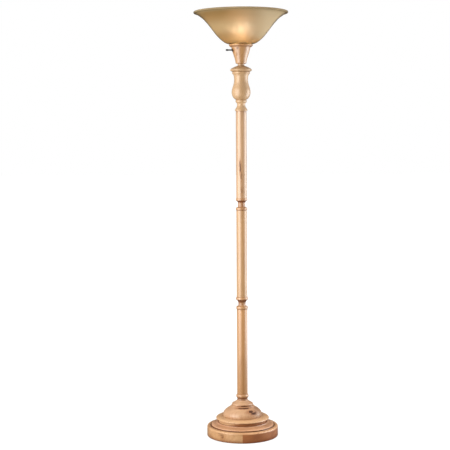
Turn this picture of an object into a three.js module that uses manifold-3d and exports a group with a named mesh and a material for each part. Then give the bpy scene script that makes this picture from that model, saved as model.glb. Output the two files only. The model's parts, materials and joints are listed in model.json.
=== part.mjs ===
// Torchiere floor lamp: a turned wooden pole on a weighted base, with a glass bell shade on top.
// Millimetres, +Z up. The origin is the middle of the underside, on the floor.
import * as THREE from "three";
import { mergeVertices } from "three/addons/utils/BufferGeometryUtils.js";
import Module from "manifold-3d";

const wasm = await Module();
wasm.setup();

// ---- Driving dimensions ----
const HEIGHT = 1800; // floor to shade rim
const SHADE_R = 198; // outside of the shade's rim
const PLINTH_R = 152;
const POLE_R = 22.5;
const NECK_R = 15.5; // thinnest part of a pole joint
const PIPE_R = 5; // 1/8 inch lamp pipe
const CLEAR = 0.3; // gap between round pieces that go one in the other

// ---- Heights where one piece stands on the next ----
const Z_FELT = 1;
const Z_PLINTH = 44;
const Z_DISC = 60;
const Z_STEP = 84.5;
const Z_DOME = 153;
const Z_COLLAR = 178;
const Z_JOINT_1 = 545; // lower turned joint, bottom
const Z_JOINT_2 = 968; // upper turned joint, bottom
const JOINT_H = 52;
const Z_URN_FOOT = 1386;
const Z_URN = 1434;
const Z_CAP = 1545;
const Z_SPACER = 1575;
const Z_CUP = 1583.5;
const Z_FLANGE = 1653;
const Z_SEAT = 1663;

// ---- Faces round a turned piece ----
const WIDE = 32;
const MEDIUM = 24;
const SLIM = 20;
const SMALL = 16;
const TINY = 10;

// ---- Materials ----
const finish = (color, roughness, metalness = 0) =>
  new THREE.MeshStandardMaterial({ color, roughness, metalness });
const BIRCH = finish(0xd8a878, 0.45);
const BIRCH_DARK = finish(0xa5703f, 0.45);
const AMBER_GLASS = finish(0xd9b27c, 0.35);
const BULB_GLASS = finish(0xfff1d6, 0.25);
const BRASS = finish(0xc9a24e, 0.3, 1);
const STEEL = finish(0x9a9a98, 0.4, 1);
const IRON = finish(0x3a3b3c, 0.7, 0.8);
const BLACK_PLASTIC = finish(0x1c1a18, 0.4);
const FELT = finish(0x3b3027, 0.95);
const CORK = finish(0xb98a5c, 0.9);
const CARD = finish(0xb9b2a4, 0.85);

const lamp = new THREE.Group();

// ---- Helpers ----

// Adds a named mesh to the lamp, or to the group given.
function piece(name, geometry, material, into = lamp) {
  const mesh = new THREE.Mesh(geometry, material);
  mesh.name = name;
  into.add(mesh);
  return mesh;
}

// An outline in the half plane (radius, height). It runs anticlockwise: out along the bottom,
// up the outside, and back down the bore.
const outline = (r, z) => new THREE.Path().moveTo(r, z);

// Turns an outline about the Z axis, like work on a lathe.
function turned(path, faces, curveSteps = 4) {
  const g = new THREE.LatheGeometry(path.getPoints(curveSteps), faces);
  return g.rotateX(Math.PI / 2);
}

// A plain ring or tube with the given bore.
function ring(inner, outer, bottom, top, faces) {
  const path = outline(inner, bottom).lineTo(outer, bottom).lineTo(outer, top).lineTo(inner, top);
  return turned(path.lineTo(inner, bottom), faces);
}

// Closes an outline down a straight bore, back to where it began.
const bored = (path, r, top, bottom) => path.lineTo(r, top).lineTo(r, bottom);

// A three.js geometry as a manifold-3d solid, and back.
function solid(geometry) {
  const bare = geometry.index ? geometry.toNonIndexed() : geometry.clone();
  bare.deleteAttribute("normal");
  bare.deleteAttribute("uv");
  const merged = mergeVertices(bare, 1e-3);
  const mesh = new wasm.Mesh({
    numProp: 3,
    vertProperties: merged.attributes.position.array,
    triVerts: new Uint32Array(merged.index.array),
  });
  return new wasm.Manifold(mesh);
}
function geometryOf(body) {
  const mesh = body.getMesh();
  const g = new THREE.BufferGeometry();
  g.setAttribute("position", new THREE.BufferAttribute(Float32Array.from(mesh.vertProperties), 3));
  g.setIndex(new THREE.BufferAttribute(Uint32Array.from(mesh.triVerts), 1));
  return g;
}
const cut = (geometry, ...tools) =>
  geometryOf(tools.reduce((body, tool) => body.subtract(solid(tool)), solid(geometry)));

// A drill bit: a cylinder from one point along a direction.
function drill(from, direction, length, r, faces = TINY) {
  const g = new THREE.CylinderGeometry(r, r, length, faces).translate(0, length / 2, 0);
  const up = new THREE.Vector3(0, 1, 0);
  const along = new THREE.Vector3(...direction).normalize();
  g.applyQuaternion(new THREE.Quaternion().setFromUnitVectors(up, along));
  return g.translate(...from);
}

// ---- Base ----
const ROD_BORE = PIPE_R + 0.6; // hole for the pipe in a turned piece
const RECESS_R = 118; // pocket for the weight under the plinth
const Z_RECESS = 26;
const DISC_R = 133.5;
const STEP_R = 113.5;
const STEP_WALL_R = 106;
const CORD_HOLE = { x: 16, z: 12, r: 6.4, seatR: 9.5, seatY: 150.5 };

function plinthOutline() {
  const round = 7;
  const path = outline(RECESS_R, Z_FELT).lineTo(PLINTH_R - 1, Z_FELT);
  path.lineTo(PLINTH_R, Z_FELT + 1);
  path.absarc(PLINTH_R - round, Z_PLINTH - round, round, 0, Math.PI / 2);
  // V-groove round the disc that stands on the plinth
  path.lineTo(DISC_R + 4, Z_PLINTH).lineTo(DISC_R + 1.8, Z_PLINTH - 3).lineTo(DISC_R - 0.5, Z_PLINTH);
  return bored(path, ROD_BORE, Z_PLINTH, Z_RECESS).lineTo(RECESS_R, Z_RECESS).lineTo(RECESS_R, Z_FELT);
}

// The plinth is glued up from two boards, so it is cut in half along the glue line.
function plinthBoard(side) {
  const block = solid(turned(plinthOutline(), WIDE, 3));
  const half = new THREE.BoxGeometry(400, 400, 400).translate(side * 200, 0, 0);
  const board = geometryOf(block.intersect(solid(half)));
  const p = board.attributes.position;
  for (let i = 0; i < p.count; i++) if (Math.abs(p.getX(i)) < 1e-3) p.setX(i, 0);
  return board;
}

function makeBase() {
  piece("felt_pad", ring(0, PLINTH_R - 3.5, 0, Z_FELT, WIDE), FELT);
  const { x, z, r, seatR, seatY } = CORD_HOLE;
  const bore = drill([x, RECESS_R - 8, z], [0, 1, 0], 60, r, SMALL);
  const seat = drill([x, seatY, z], [0, 1, 0], 10, seatR, SMALL);
  piece("plinth_left_board", plinthBoard(-1), BIRCH);
  piece("plinth_right_board", cut(plinthBoard(1), bore, seat), BIRCH_DARK);

  const disc = outline(ROD_BORE, Z_PLINTH).lineTo(DISC_R - 1.5, Z_PLINTH);
  disc.quadraticCurveTo(DISC_R, Z_PLINTH, DISC_R, Z_PLINTH + 1.5);
  disc.bezierCurveTo(DISC_R, Z_PLINTH + 7, 124, Z_PLINTH + 8, 119, Z_PLINTH + 9);
  disc.quadraticCurveTo(109, Z_PLINTH + 11, STEP_WALL_R + 1, Z_DISC);
  piece("ogee_disc", turned(bored(disc, ROD_BORE, Z_DISC, Z_PLINTH), WIDE, 3), BIRCH);

  const lip = 74;
  const step = outline(ROD_BORE, Z_DISC).lineTo(STEP_WALL_R, Z_DISC).lineTo(STEP_WALL_R, lip);
  step.lineTo(STEP_R - 1, lip).lineTo(STEP_R, lip + 1);
  step.absellipse(90, lip + 1, STEP_R - 90, Z_STEP - lip - 1, 0, Math.PI / 2);
  piece("torus_step", turned(bored(step, ROD_BORE, Z_STEP, Z_DISC), WIDE, 3), BIRCH);

  const dome = outline(ROD_BORE, Z_STEP).lineTo(83.5, Z_STEP).lineTo(83.5, 92);
  dome.bezierCurveTo(83, 103, 71, 114, 58, 121).quadraticCurveTo(51, 125, 47.5, 130.5);
  dome.lineTo(45, 131.5).quadraticCurveTo(47, 135.5, 43, 139.5).lineTo(39, 141.5);
  dome.bezierCurveTo(33, 145, 26.5, 148.5, 23.5, Z_DOME);
  piece("dome", turned(bored(dome, ROD_BORE, Z_DOME, Z_STEP), WIDE, 3), BIRCH);

  const collar = outline(ROD_BORE, Z_DOME).lineTo(22.5, Z_DOME).lineTo(21.8, 158);
  collar.quadraticCurveTo(22, 163, 24.6, 163.6).bezierCurveTo(27.2, 166, 27.2, 174, 24.6, 176.4);
  collar.lineTo(23.2, Z_COLLAR);
  piece("foot_collar", turned(bored(collar, ROD_BORE, Z_COLLAR, Z_DOME), SLIM, 3), BIRCH);
}
makeBase();

// ---- What holds the base down and together ----
const WEIGHT_R = 116;
const Z_WEIGHT = 8;
const Z_WASHER = 18; // top of the washer, in the weight's counterbore
const WASHER_T = 1.4;
const NUT_H = 6;

function hexNut(name, bottom, acrossFlats, height) {
  const hex = new THREE.CylinderGeometry(acrossFlats / Math.sqrt(3), acrossFlats / Math.sqrt(3), height, 6);
  hex.rotateX(Math.PI / 2).translate(0, 0, bottom + height / 2);
  piece(name, cut(hex, drill([0, 0, bottom - 5], [0, 0, 1], height + 10, PIPE_R + CLEAR)), STEEL);
}

function makeClamp() {
  const iron = outline(ROD_BORE, Z_WASHER).lineTo(15, Z_WASHER).lineTo(15, Z_WEIGHT);
  iron.lineTo(WEIGHT_R - 2, Z_WEIGHT).lineTo(WEIGHT_R, Z_WEIGHT + 2).lineTo(WEIGHT_R, Z_RECESS);
  iron.lineTo(ROD_BORE, Z_RECESS).lineTo(ROD_BORE, Z_WASHER);
  piece("base_weight", turned(iron, WIDE), IRON);
  piece("base_washer", ring(PIPE_R + CLEAR, 12, Z_WASHER - WASHER_T, Z_WASHER, SMALL), STEEL);
  hexNut("base_nut", Z_WASHER - WASHER_T - NUT_H, 17, NUT_H);

  const { x, z, r, seatR, seatY } = CORD_HOLE;
  const bush = outline(4, 0).lineTo(r - CLEAR, 0).lineTo(r - CLEAR, seatY - 122);
  bush.lineTo(seatR - CLEAR, seatY - 122).lineTo(seatR - CLEAR, seatY - 120.5);
  bush.lineTo(seatR - 2, seatY - 119.5).lineTo(4, seatY - 119.5).lineTo(4, 0);
  const bushing = turned(bush, SMALL).rotateX(-Math.PI / 2).translate(x, 122, z);
  piece("cord_bushing", bushing, BLACK_PLASTIC);
}
makeClamp();

// ---- Pole: three sections, two turned joints, and the pipe inside ----
const POLE_BORE = 8.5;
const COUPLER_H = 24;

const pole = (name, bottom, top) =>
  piece(name, ring(POLE_BORE, POLE_R, bottom, top, SLIM), BIRCH);

// A spool: a ring below, a thin neck, and a wider lip above.
function joint(name, bottom, ringH, ringR, lipH, lipR) {
  const top = bottom + JOINT_H;
  const neck = bottom + JOINT_H * 0.47;
  const path = outline(ROD_BORE, bottom).lineTo(ringR - 1.6, bottom);
  path.bezierCurveTo(ringR + 0.5, bottom + 1, ringR + 0.5, bottom + ringH - 1, ringR - 1.6, bottom + ringH);
  path.lineTo(ringR - 3.2, bottom + ringH);
  path.quadraticCurveTo(NECK_R + 0.6, neck - 7, NECK_R, neck);
  path.quadraticCurveTo(NECK_R + 0.6, neck + 6, lipR - 4, top - lipH);
  path.bezierCurveTo(lipR + 1, top - lipH + 1, lipR + 0.5, top - 1, lipR - 2, top);
  piece(name, turned(bored(path, ROD_BORE, top, bottom), SLIM, 3), BIRCH);
}

const coupler = (name, bottom) =>
  piece(name, ring(PIPE_R + CLEAR, POLE_BORE - 0.7, bottom, bottom + COUPLER_H, TINY), STEEL);
const pipe = (name, bottom, top) =>
  piece(name, ring(3.2, PIPE_R, bottom, top, TINY), STEEL);

function makePole() {
  const top1 = Z_JOINT_1 + JOINT_H;
  const top2 = Z_JOINT_2 + JOINT_H;
  pole("pole_lower", Z_COLLAR, Z_JOINT_1);
  joint("joint_lower", Z_JOINT_1, 13, 24.5, 12, 26);
  pole("pole_middle", top1, Z_JOINT_2);
  joint("joint_upper", Z_JOINT_2, 9, 24.5, 17, 24.2);
  pole("pole_upper", top2, Z_URN_FOOT);
  const meet1 = top1 + COUPLER_H / 2;
  const meet2 = top2 + COUPLER_H / 2;
  pipe("pipe_lower", 9, meet1 - CLEAR);
  coupler("coupler_lower", top1);
  pipe("pipe_middle", meet1 + CLEAR, meet2 - CLEAR);
  coupler("coupler_upper", top2);
  pipe("pipe_upper", meet2 + CLEAR, Z_PIPE_TOP);
}

// ---- Urn, spacer, socket cup and flange ----
const CUP_BORE = 21;
const Z_CUP_FLOOR = 1612;
const KEY_Z = 1640;
const KEY_TURN = (12 * Math.PI) / 180; // the key leaves a little forward of -X
const KEY_WAY = [-Math.cos(KEY_TURN), -Math.sin(KEY_TURN), 0];
const Z_SOCKET = 1618;
const Z_PIPE_TOP = Z_SOCKET + 1.2;

function makeUrn() {
  const foot = outline(ROD_BORE, Z_URN_FOOT).lineTo(25.4, Z_URN_FOOT);
  foot.quadraticCurveTo(26.8, Z_URN_FOOT + 2, 26, Z_URN_FOOT + 5);
  foot.bezierCurveTo(24, 1396, 18, 1402, 16.8, 1411).quadraticCurveTo(17, 1419, 21.6, 1422);
  foot.bezierCurveTo(24.4, 1424, 24.4, 1431, 22, 1432.4).lineTo(21.5, Z_URN);
  piece("urn_foot", turned(bored(foot, ROD_BORE, Z_URN, Z_URN_FOOT), SLIM, 3), BIRCH);

  const urn = outline(ROD_BORE, Z_URN).lineTo(23, Z_URN);
  urn.bezierCurveTo(33, 1438, 39.6, 1452, 39.6, 1464).bezierCurveTo(39.6, 1484, 29, 1494, 29, 1518);
  urn.quadraticCurveTo(29, 1534, 34.4, 1540).bezierCurveTo(38.4, 1541, 38.4, 1548, 35.6, 1549);
  urn.lineTo(39.5, 1551);
  urn.lineTo(39.5, Z_CAP + 7);
  const urnTop = Z_CAP + 7;
  piece("urn", turned(bored(urn, ROD_BORE, urnTop, Z_URN), MEDIUM, 3), BIRCH);

  const cap = outline(ROD_BORE, urnTop).lineTo(41.5, urnTop).quadraticCurveTo(45, 1554, 45.6, 1557.5);
  cap.lineTo(44.6, 1560).bezierCurveTo(38, 1566.5, 28, 1570, 15.5, Z_SPACER);
  piece("urn_cap", turned(bored(cap, ROD_BORE, Z_SPACER, urnTop), MEDIUM, 3), BIRCH);

  const spacer = outline(ROD_BORE, Z_SPACER).lineTo(14.5, Z_SPACER);
  spacer.quadraticCurveTo(12, 1579, 15.5, Z_CUP);
  piece("spacer", turned(bored(spacer, ROD_BORE, Z_CUP, Z_SPACER), SMALL, 4), BIRCH);
}

function makeCup() {
  const cup = outline(ROD_BORE, Z_CUP).lineTo(19.5, Z_CUP).quadraticCurveTo(22.4, 1584, 22.8, 1588);
  cup.bezierCurveTo(24, 1601, 30, 1615, 34.4, 1630).quadraticCurveTo(37.6, 1641, 40.5, Z_FLANGE);
  cup.lineTo(CUP_BORE, Z_FLANGE).lineTo(CUP_BORE, Z_CUP_FLOOR).lineTo(ROD_BORE, Z_CUP_FLOOR);
  cup.lineTo(ROD_BORE, Z_CUP);
  const keyHole = drill([0, 0, KEY_Z], KEY_WAY, 60, 4.6);
  piece("socket_cup", cut(turned(cup, MEDIUM, 3), keyHole), BIRCH);

  const flange = outline(CUP_BORE, Z_FLANGE).lineTo(45, Z_FLANGE).quadraticCurveTo(48, 1653.6, 49, 1656);
  flange.bezierCurveTo(51.2, 1657, 51.2, 1661.5, 49.4, Z_SEAT);
  piece("flange_ring", turned(bored(flange, CUP_BORE, Z_SEAT, Z_FLANGE), WIDE, 3), BIRCH);
  piece("cup_washer", ring(PIPE_R + CLEAR, 12, Z_CUP_FLOOR, Z_CUP_FLOOR + 1.2, SMALL), STEEL);
  hexNut("cup_nut", Z_CUP_FLOOR + 1.2, 15.9, Z_SOCKET - Z_CUP_FLOOR - 1.2);
}
makePole();
makeUrn();
makeCup();

// ---- Socket with its rotary switch ----
const SHELL_R = 18.1;
const Z_SHELL = Z_SOCKET + 9;
const Z_SHELL_TOP = 1677;
const Z_CONTACT = 1650;

function makeSocket() {
  const cap = outline(PIPE_R + CLEAR, Z_SOCKET).lineTo(9, Z_SOCKET);
  cap.quadraticCurveTo(19.5, Z_SOCKET + 1, 19.5, Z_SHELL).lineTo(19.5, Z_SHELL + 5);
  cap.lineTo(18.4, Z_SHELL + 5).lineTo(18.4, Z_SHELL).lineTo(16.6, Z_SHELL);
  cap.quadraticCurveTo(16, Z_SOCKET + 3, 8.5, Z_PIPE_TOP).lineTo(PIPE_R + CLEAR, Z_PIPE_TOP);
  cap.lineTo(PIPE_R + CLEAR, Z_SOCKET);
  piece("socket_cap", turned(cap, SMALL, 3), BRASS);

  const keyHole = drill([0, 0, KEY_Z], KEY_WAY, 30, 3.4);
  const shell = outline(SHELL_R - 0.7, Z_SHELL).lineTo(SHELL_R, Z_SHELL).lineTo(SHELL_R, Z_SHELL_TOP - 3);
  shell.lineTo(SHELL_R + 0.9, Z_SHELL_TOP - 2).lineTo(SHELL_R + 0.9, Z_SHELL_TOP);
  shell.lineTo(SHELL_R - 0.7, Z_SHELL_TOP).lineTo(SHELL_R - 0.7, Z_SHELL);
  piece("socket_shell", cut(turned(shell, SMALL), keyHole), BRASS);
  piece("socket_liner", cut(ring(16.6, 17.1, Z_SHELL, Z_SHELL_TOP - 1, SMALL), keyHole), CARD);

  const interior = outline(0, Z_PIPE_TOP).lineTo(8, Z_PIPE_TOP).lineTo(15, Z_SHELL + 1);
  interior.lineTo(16.2, Z_SHELL + 3).lineTo(16.2, Z_CONTACT).lineTo(0, Z_CONTACT);
  const spindleHole = drill([KEY_WAY[0] * 6, KEY_WAY[1] * 6, KEY_Z], KEY_WAY, 30, 2.5);
  piece("switch_body", cut(turned(interior, SMALL), spindleHole), BLACK_PLASTIC);

  const cupped = outline(5, Z_CONTACT).lineTo(14.5, Z_CONTACT).lineTo(14.5, Z_SHELL_TOP - 3);
  cupped.lineTo(13.9, Z_SHELL_TOP - 3).lineTo(13.9, Z_CONTACT + 0.6).lineTo(5, Z_CONTACT + 0.6);
  piece("screw_shell", turned(cupped.lineTo(5, Z_CONTACT), SMALL), BRASS);
  piece("socket_contact", ring(0, 3, Z_CONTACT, Z_CONTACT + 3.4, TINY), BRASS);
}
makeSocket();

// ---- Turn key: a spindle with a finger knob ----
function makeKey() {
  const key = new THREE.Group();
  key.position.set(0, 0, KEY_Z);
  key.rotation.z = KEY_TURN;
  lamp.add(key);
  const tip = 66; // from the lamp's axis to the end of the knob
  const knobFrom = 53;
  // The spindle is filed flat where the knob goes on.
  const spindle = new THREE.CylinderGeometry(1.9, 1.9, knobFrom + 6 - 7, TINY);
  spindle.rotateZ(Math.PI / 2).translate(-(knobFrom + 6 + 7) / 2, 0, 0);
  piece("key_stem", spindle, STEEL, key);
  // A fluted knob, with a blind hole for the spindle.
  const star = new THREE.Shape();
  const flutes = 10;
  for (let i = 0; i < flutes * 2; i++) {
    const a = (i * Math.PI) / flutes;
    const r = i % 2 ? 3.2 : 3.7;
    if (i) star.lineTo(r * Math.cos(a), r * Math.sin(a));
    else star.moveTo(r, 0);
  }
  star.closePath();
  const grip = new THREE.ExtrudeGeometry(star, { depth: tip - knobFrom, bevelEnabled: false });
  grip.rotateY(-Math.PI / 2).translate(-knobFrom, 0, 0);
  const hole = drill([0, 0, 0], [-1, 0, 0], knobFrom + 6 + CLEAR, 1.9 + CLEAR);
  piece("key_knob", cut(grip, hole), BLACK_PLASTIC, key);
}
makeKey();

// ---- Shade seat, gasket, glass shade and bulb ----
const COLLAR_R = 32.5; // the glass drops over this collar
const Z_GASKET = Z_SEAT + 1.2;
const Z_GLASS = Z_GASKET + 1.5;

function makeSeat() {
  const seat = outline(23, Z_SEAT).lineTo(47.5, Z_SEAT).lineTo(47.5, Z_GASKET).lineTo(COLLAR_R, Z_GASKET);
  seat.lineTo(COLLAR_R, 1672).lineTo(COLLAR_R - 1, 1672).lineTo(COLLAR_R - 1, Z_GASKET);
  seat.lineTo(23, Z_GASKET).lineTo(23, Z_SEAT);
  const angles = [90, 210, 330].map((deg) => (deg * Math.PI) / 180);
  const spots = angles.map((a) => [27.2 * Math.cos(a), 27.2 * Math.sin(a)]);
  const holes = (r) => spots.map(([x, y]) => drill([x, y, Z_SEAT - 9], [0, 0, 1], 20, r, 8));
  piece("shade_seat", cut(turned(seat, MEDIUM), ...holes(1.9)), BRASS);
  lamp.getObjectByName("flange_ring").geometry = cut(
    lamp.getObjectByName("flange_ring").geometry, ...holes(1.9));
  spots.forEach(([x, y], i) => {
    const screw = outline(0, Z_SEAT - 8.5).lineTo(1.5, Z_SEAT - 8).lineTo(1.5, Z_GASKET);
    screw.lineTo(3, Z_GASKET).lineTo(2.4, Z_GASKET + 1.3).lineTo(0, Z_GASKET + 1.6);
    piece("seat_screw_" + (i + 1), turned(screw, TINY).translate(x, y, 0), STEEL);
  });
  piece("shade_gasket", ring(COLLAR_R + 1.5, 46.5, Z_GASKET, Z_GLASS, MEDIUM), CORK);
}

function makeShade() {
  const t = 3.6; // glass thickness
  const rim = 4;
  const shade = outline(COLLAR_R + 1.5, Z_GLASS).lineTo(52, Z_GLASS);
  shade.bezierCurveTo(66, Z_GLASS + 2, 78.5, 1677, 97, 1696);
  shade.bezierCurveTo(118, 1719, 131, 1742, 149.5, 1760.5);
  shade.bezierCurveTo(160, 1773, 172, 1781, 190, HEIGHT - 2 * rim);
  shade.absarc(SHADE_R - rim, HEIGHT - rim, rim, -Math.PI / 2, Math.PI / 2);
  shade.lineTo(190, HEIGHT - 2);
  shade.bezierCurveTo(170, 1787, 156, 1776, 146.4, 1763.7);
  shade.bezierCurveTo(128, 1744, 115, 1721.5, 94, 1698.5);
  shade.bezierCurveTo(77, 1680.6, 64, Z_GLASS + 5, 50, Z_GLASS + t);
  shade.lineTo(COLLAR_R + 1.5, Z_GLASS + t).lineTo(COLLAR_R + 1.5, Z_GLASS);
  piece("glass_shade", turned(shade, WIDE, 3), AMBER_GLASS);
}

function makeBulb() {
  const foot = Z_CONTACT + 3.4;
  piece("bulb_contact", ring(0, 4.5, foot, foot + 1.6, TINY), BRASS);
  const cap = outline(0, foot + 1.6).lineTo(6, foot + 1.6).lineTo(13.2, foot + 6).lineTo(13.2, 1680);
  piece("bulb_cap", turned(cap.lineTo(0, 1680), SMALL), STEEL);
  const glass = outline(0, 1680).lineTo(13.2, 1680).bezierCurveTo(14, 1694, 29.8, 1704, 30, 1727);
  glass.absarc(0, 1727, 30, 0, Math.PI / 2);
  piece("bulb_glass", turned(glass, MEDIUM, 4), BULB_GLASS);
}
makeSeat();
makeShade();
makeBulb();

export default lamp;
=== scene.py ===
# %% [markdown]
# # A torchiere floor lamp
# A turned birch pole stands on a weighted base and carries a bell of frosted amber glass. The
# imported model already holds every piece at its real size. This script gives those pieces their
# fine surfaces and finishes, and puts them in a quiet studio. Everything is in metres, with the
# floor at zero and the pole along Z.

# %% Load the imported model
import json
import math

import bmesh
import bpy
from mathutils import Matrix, Vector

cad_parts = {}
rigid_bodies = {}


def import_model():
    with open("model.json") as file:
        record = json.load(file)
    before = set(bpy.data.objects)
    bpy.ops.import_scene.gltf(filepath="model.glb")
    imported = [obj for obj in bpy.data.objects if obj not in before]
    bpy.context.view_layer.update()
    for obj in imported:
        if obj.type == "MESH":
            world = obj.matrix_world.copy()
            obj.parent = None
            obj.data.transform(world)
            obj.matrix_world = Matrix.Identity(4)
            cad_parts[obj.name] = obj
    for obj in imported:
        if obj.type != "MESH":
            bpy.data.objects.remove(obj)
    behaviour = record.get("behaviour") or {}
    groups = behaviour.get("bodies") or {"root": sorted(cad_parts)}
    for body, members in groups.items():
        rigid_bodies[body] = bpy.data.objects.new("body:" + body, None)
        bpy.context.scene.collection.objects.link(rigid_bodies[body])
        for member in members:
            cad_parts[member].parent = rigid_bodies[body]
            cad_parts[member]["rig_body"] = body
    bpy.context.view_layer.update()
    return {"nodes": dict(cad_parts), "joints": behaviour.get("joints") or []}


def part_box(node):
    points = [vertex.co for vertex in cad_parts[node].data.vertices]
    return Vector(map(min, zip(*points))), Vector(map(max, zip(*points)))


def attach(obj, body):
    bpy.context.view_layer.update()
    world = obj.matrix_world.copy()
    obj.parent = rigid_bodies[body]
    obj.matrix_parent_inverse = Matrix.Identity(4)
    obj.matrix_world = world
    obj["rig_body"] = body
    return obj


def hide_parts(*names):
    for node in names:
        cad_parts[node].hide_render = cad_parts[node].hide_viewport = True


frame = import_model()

MM = 0.001
scene = bpy.context.scene

# %% [markdown]
# ## The camera
# A tall thin lamp is best seen through a long lens from some way off, so that the pole's sides
# stay parallel. The eye is at chest height and looks down a little, which shows the underside of
# the glass rim and the top of the base at once. A small turn and roll frame the lamp off centre.

# %% Place the camera
EYE = Vector((0, -4.825, 1.295))
LENS = 91.27  # millimetres, before a sensor 36 millimetres wide
TURN_LEFT, TIP_DOWN, ROLL = math.radians(0.84), math.radians(4.62), math.radians(-0.32)


def place(obj, matrix=Matrix.Identity(4)):
    """Links a new object to the scene at a place."""
    scene.collection.objects.link(obj)
    obj.matrix_world = matrix
    return obj


lens = bpy.data.cameras.new("portrait_lens")
lens.lens = LENS
aim = Matrix.Rotation(TURN_LEFT, 4, "Z") @ Matrix.Rotation(math.pi / 2 - TIP_DOWN, 4, "X")
aim = aim @ Matrix.Rotation(ROLL, 4, "Z")
camera = place(bpy.data.objects.new("camera", lens), Matrix.Translation(EYE) @ aim)
scene.camera = camera
scene.view_settings.view_transform = "Standard"
print("camera:", tuple(round(x, 2) for x in EYE), "with a lens of", LENS, "mm")

# %% [markdown]
# ## Colours
# A screen colour has three parts from 0 to 255, bent so that dark tones get more of the steps.
# Light itself adds up evenly, so Blender's sockets want the straightened parts, from 0 to 1.

# %% Straighten a screen colour
def linear(part):
    """One part of a screen colour, 0 to 255, turned into linear light."""
    part /= 255
    return part / 12.92 if part < 0.04045 else ((part + 0.055) / 1.055) ** 2.4


def shade(red, green, blue):
    """A colour as a painter would read it off a screen."""
    return (linear(red), linear(green), linear(blue), 1.0)


print("a middle grey of 128 is", round(linear(128), 3), "in linear light")

# %% [markdown]
# ## Writing node trees
# A finish is a tree of shader nodes. Made by hand in the editor a tree is easy to see but hard to
# repeat, so a small helper adds nodes from code: each call names a node, and what feeds it may be
# a number, a colour or another node's output. An effect that several finishes share, such as
# grain, becomes a node group with named sockets, built once and placed wherever it is needed.

# %% A helper that adds nodes
class Wiring:
    """Adds nodes to one tree. A fed value is a number, a colour, a vector or a node's output."""

    def __init__(self, tree):
        self.tree = tree

    def feed(self, socket, value):
        if isinstance(value, bpy.types.NodeSocket):
            self.tree.links.new(value, socket)
        elif value is not None:
            socket.default_value = value

    def node(self, kind, feeds=None, **settings):
        made = self.tree.nodes.new("ShaderNode" + kind)
        for name, value in settings.items():
            setattr(made, name, value)
        for name, value in (feeds or {}).items():
            self.feed(made.inputs[name], value)
        return made

    def reckon(self, kind, operation, values):
        """A node that works its result out of one value for each of its inputs."""
        made = self.node(kind, operation=operation)
        for socket, value in zip(made.inputs, values):
            self.feed(socket, value)
        return made.outputs

    def math(self, operation, *values):
        return self.reckon("Math", operation, values)[0]

    def vector(self, operation, *values):
        result = self.reckon("VectorMath", operation, values)
        return result["Value" if operation == "LENGTH" else "Vector"]

    def times(self, first, second):
        return self.math("MULTIPLY", first, second)

    def scaled(self, value, by, plus):
        """A value times one number, plus another."""
        return self.math("MULTIPLY_ADD", value, by, plus)

    def split(self, vector, axis):
        """One part of a vector."""
        return self.node("SeparateXYZ", {"Vector": vector}).outputs[axis]

    def join(self, x, y, z):
        return self.node("CombineXYZ", {"X": x, "Y": y, "Z": z}).outputs[0]

    def mix(self, share, first, second):
        """The first colour, with a share of the second."""
        made = self.node("Mix", data_type="RGBA")
        for index, value in ((0, share), (6, first), (7, second)):
            self.feed(made.inputs[index], value)
        return made.outputs[2]

    def ramp(self, value, start, end, low=0.0, high=1.0):
        """Goes smoothly from low to high while the value goes from start to end."""
        feeds = {"Value": value, "From Min": start, "From Max": end, "To Min": low, "To Max": high}
        return self.node("MapRange", feeds, interpolation_type="SMOOTHSTEP").outputs[0]

    def noise(self, vector, scale, detail=2.0, output="Fac", bend=0.0):
        feeds = {"Vector": vector, "Scale": scale, "Detail": detail, "Distortion": bend}
        return self.node("TexNoise", feeds).outputs[output]

    def stretch(self, vector, x, y, z):
        return self.vector("MULTIPLY", vector, (x, y, z))

    def here(self):
        """The point being shaded, in metres from the origin of its piece."""
        return self.node("TexCoord").outputs["Object"]

    def dent(self, shader, height, strength, distance):
        """Bends the light as small dents would, without moving the skin."""
        bump = self.node("Bump", {"Height": height, "Strength": strength, "Distance": distance})
        self.feed(shader["Normal"], bump.outputs[0])


def blank_tree(owner):
    """Clears the nodes of a new material or world, ready for its own."""
    owner.use_nodes = True
    owner.node_tree.nodes.clear()
    return Wiring(owner.node_tree)


print("a helper for node trees is ready")

# %% A helper that starts a node group
FLOAT, VECTOR, COLOUR = "NodeSocketFloat", "NodeSocketVector", "NodeSocketColor"


def new_group(name, inputs, outputs):
    """A shader node group. Each takes a Vector, and inputs with a default value: a number, a
    vector of three parts or a colour of four. Outputs are named with their kind."""
    tree = bpy.data.node_groups.new(name, "ShaderNodeTree")
    tree.interface.new_socket("Vector", in_out="INPUT", socket_type=VECTOR)
    for label, value in inputs.items():
        kind = FLOAT if isinstance(value, float) else VECTOR if len(value) == 3 else COLOUR
        tree.interface.new_socket(label, in_out="INPUT", socket_type=kind).default_value = value
    for label, kind in outputs.items():
        tree.interface.new_socket(label, in_out="OUTPUT", socket_type=kind)
    entry, result = tree.nodes.new("NodeGroupInput"), tree.nodes.new("NodeGroupOutput")
    print("group", name, "takes Vector and", list(inputs), "and gives", list(outputs))
    return Wiring(tree), entry.outputs, result.inputs


def use_group(wiring, name, vector, **feeds):
    """Places a group in a material with its own values: ring_width feeds its Ring Width."""
    made = wiring.tree.nodes.new("ShaderNodeGroup")
    made.node_tree = bpy.data.node_groups[name]
    wiring.feed(made.inputs["Vector"], vector)
    for word, value in feeds.items():
        wiring.feed(made.inputs[word.replace("_", " ").title()], value)
    return made.outputs


print("groups can be made and placed")

# %% [markdown]
# ## The studio
# Turned wood shows its roundness by reflections, so two tall soft panels stand at its sides and
# the studio is dim in front and behind. That gives each round piece two pale bands with the colour
# of the wood between them. A soft even light comes mostly from above, which leaves the grooves of
# the base in shade. The world looks plain white wherever the camera or a glass looks at it, and the
# floor is white too, and keeps the soft shadow under the base.

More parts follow.
